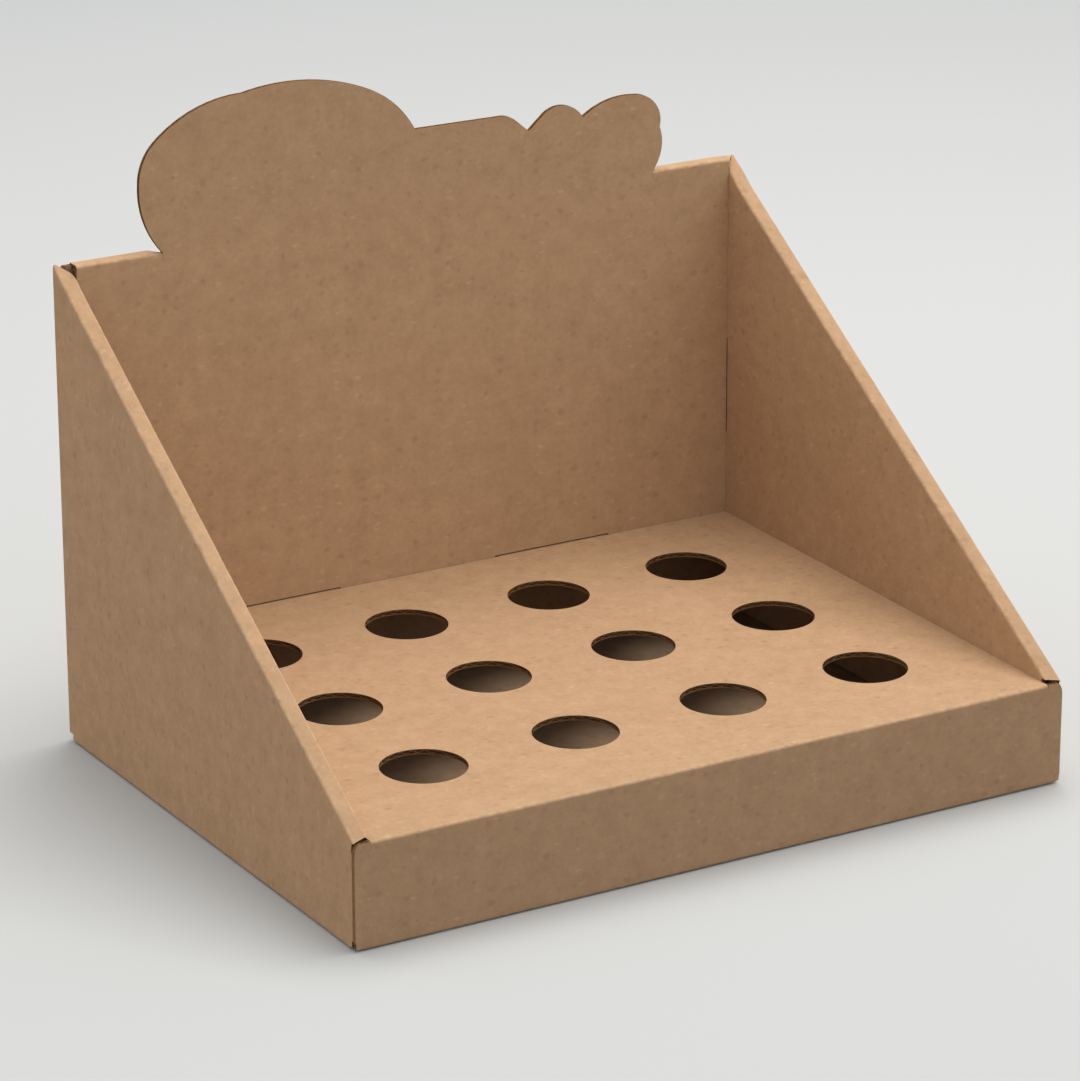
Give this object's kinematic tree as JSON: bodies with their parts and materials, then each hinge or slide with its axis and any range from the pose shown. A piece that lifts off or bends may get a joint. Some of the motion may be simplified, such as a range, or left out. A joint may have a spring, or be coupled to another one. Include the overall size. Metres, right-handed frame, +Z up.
{
  "type": "cardboard display box",
  "caption": "Counter display box folded from one corrugated sheet, with sloping rolled side walls, a shelf of round product holes and a shaped header on the back wall.",
  "frame": {"origin": "middle of the base's underside, midway between the side walls and between the front and back faces", "axes": "+Z up from the table, +Y from the front panel to the back wall, +X to the right seen from the front"},
  "size_m": [0.238, 0.182, 0.1966],
  "materials": {
    "kraft_board": "matte uncoated kraft"
  },
  "bodies": {
    "root": {"display_box": "kraft_board"}
  },
  "joints": []
}
